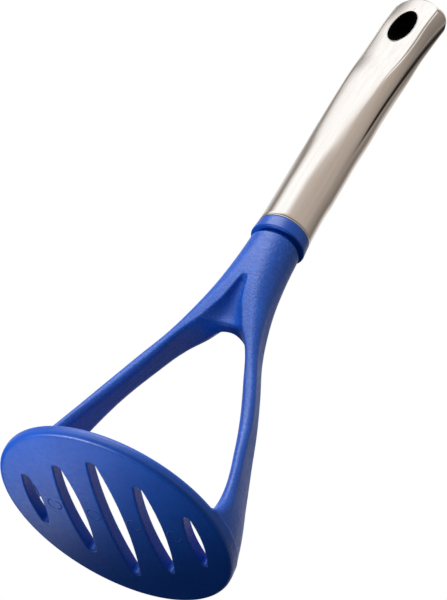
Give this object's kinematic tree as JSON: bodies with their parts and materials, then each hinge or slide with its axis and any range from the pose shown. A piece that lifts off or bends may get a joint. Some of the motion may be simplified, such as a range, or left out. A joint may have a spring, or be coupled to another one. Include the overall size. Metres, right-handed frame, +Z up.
{
  "type": "potato masher",
  "caption": "Slotted potato masher: round nylon plate on two arms that join in a neck, with a collar and a hollow formed steel handle that has an oval hang hole",
  "frame": {"origin": "centre of the flat mashing face on the underside of the plate, which is the surface the object stands on", "axes": "+Z up the handle, X across the two arms and the row of slots, Y through the thickness of the handle, with -Y the front and the handle's tip curving towards +Y"},
  "size_m": [0.088, 0.088, 0.2658],
  "materials": {
    "head_nylon": "fine moulded grain",
    "collar_nylon": "smooth moulded",
    "core_plastic": "moulded",
    "handle_steel": "satin, fine grain along the handle",
    "liner_plastic": "smooth black"
  },
  "bodies": {
    "root": {"masher_head": "head_nylon", "collar": "collar_nylon", "handle_core": "core_plastic", "handle_shell": "handle_steel", "hang_hole_liner": "liner_plastic"}
  },
  "joints": []
}
